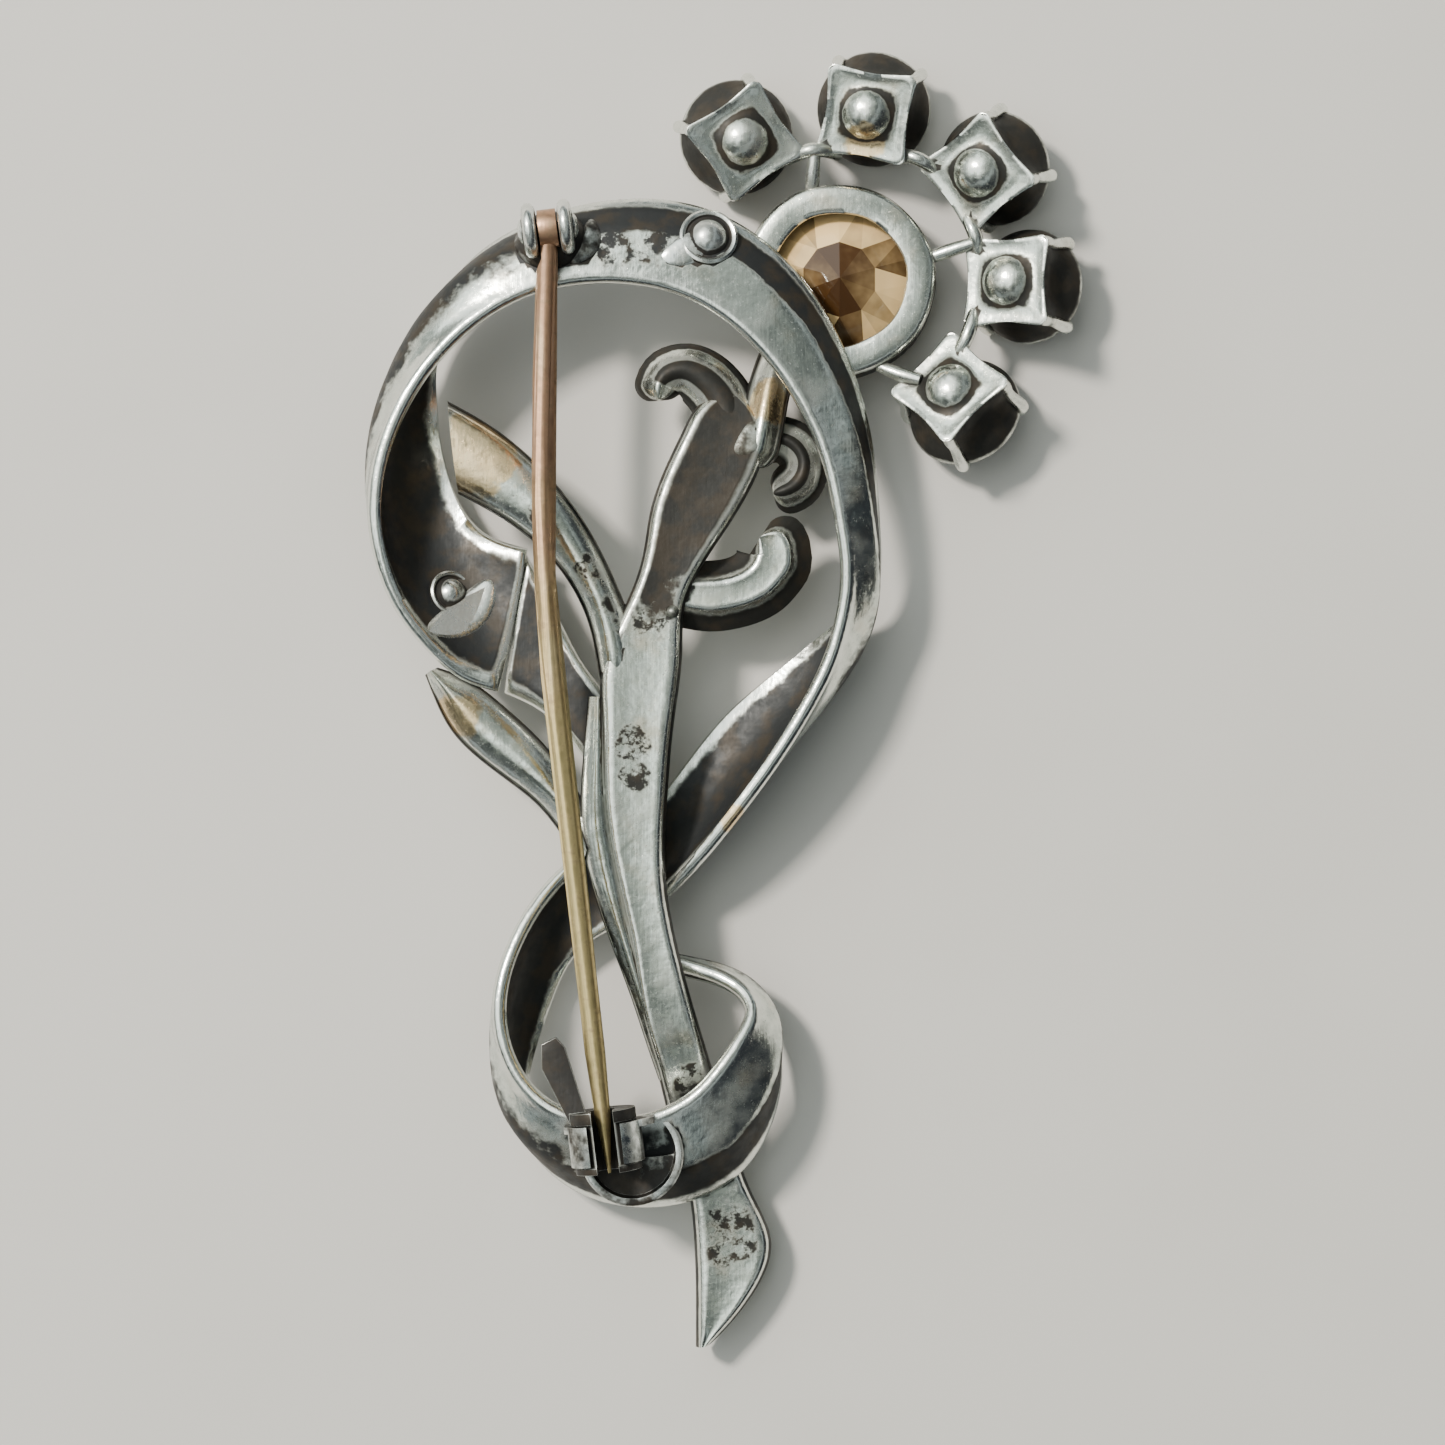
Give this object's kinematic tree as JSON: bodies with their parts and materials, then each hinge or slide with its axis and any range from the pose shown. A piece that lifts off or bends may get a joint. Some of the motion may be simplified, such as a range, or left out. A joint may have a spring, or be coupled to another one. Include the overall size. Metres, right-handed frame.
{
  "type": "brooch",
  "caption": "Floral ribbon brooch with a jewelled flower, a hinged pin and a turning safety catch on its back.",
  "frame": {"origin": "under the middle of the outline, on the surface the brooch lies face down on", "axes": "+Z out of the brooch's back, +Y from the ribbon's tail towards the flower, +X to the right as the back is seen"},
  "size_m": [0.0436, 0.0792, 0.0108],
  "materials": {
    "silver_ribbon": "hand-polished silver with a dark patina in its hollows",
    "silver_cast": "cast silver, oxidised in the recesses and worn bright on the edges",
    "silver_fittings": "soldered silver fittings, worn satin",
    "pin_brass": "drawn wire, brassy with a copper tone by the hinge",
    "stone_amber": "faceted, polished",
    "stone_smoky": "faceted, polished, dark foil behind"
  },
  "bodies": {
    "brooch": {"ribbon_loop": "silver_ribbon", "ribbon_ring": "silver_ribbon", "ribbon_bridge": "silver_ribbon", "stem": "silver_cast", "side_stem": "silver_cast", "calyx": "silver_cast", "leaf_upper": "silver_cast", "leaf_lower": "silver_cast", "flower_neck": "silver_cast", "scroll_left": "silver_cast", "scroll_right": "silver_cast", "scroll_lower": "silver_cast", "flower_bezel": "silver_cast", "centre_stone": "stone_amber", "petal_cup_1": "silver_cast", "petal_cup_2": "silver_cast", "petal_cup_3": "silver_cast", "petal_cup_4": "silver_cast", "petal_cup_5": "silver_cast", "petal_stone_1": "stone_smoky", "petal_stone_2": "stone_smoky", "petal_stone_3": "stone_smoky", "petal_stone_4": "stone_smoky", "petal_stone_5": "stone_smoky", "petal_link_1": "silver_cast", "petal_link_2": "silver_cast", "petal_link_3": "silver_cast", "petal_link_4": "silver_cast", "petal_strut_1": "silver_cast", "petal_strut_3": "silver_cast", "petal_strut_5": "silver_cast", "rivet_flower": "silver_fittings", "rivet_ribbon": "silver_fittings", "hinge_base": "silver_fittings", "hinge_rivet": "silver_fittings", "catch_cup": "silver_fittings", "catch_housing": "silver_fittings"},
    "pin": {"pin_stem": "pin_brass"},
    "rotor": {"catch_rotor": "silver_fittings"}
  },
  "joints": [
    {"name": "pin_hinge", "type": "hinge", "parent": "brooch", "child": "pin", "pos_m": [-0.0105, 0.02798, 0.00882], "axis": [-0.9928, -0.1201, 0], "range_deg": [0, 95]},
    {"name": "rotor_turn", "type": "hinge", "parent": "brooch", "child": "rotor", "pos_m": [-0.00704, -0.02634, 0.00882], "axis": [-0.1201, 0.9928, 0], "range_deg": [0, 100]}
  ]
}
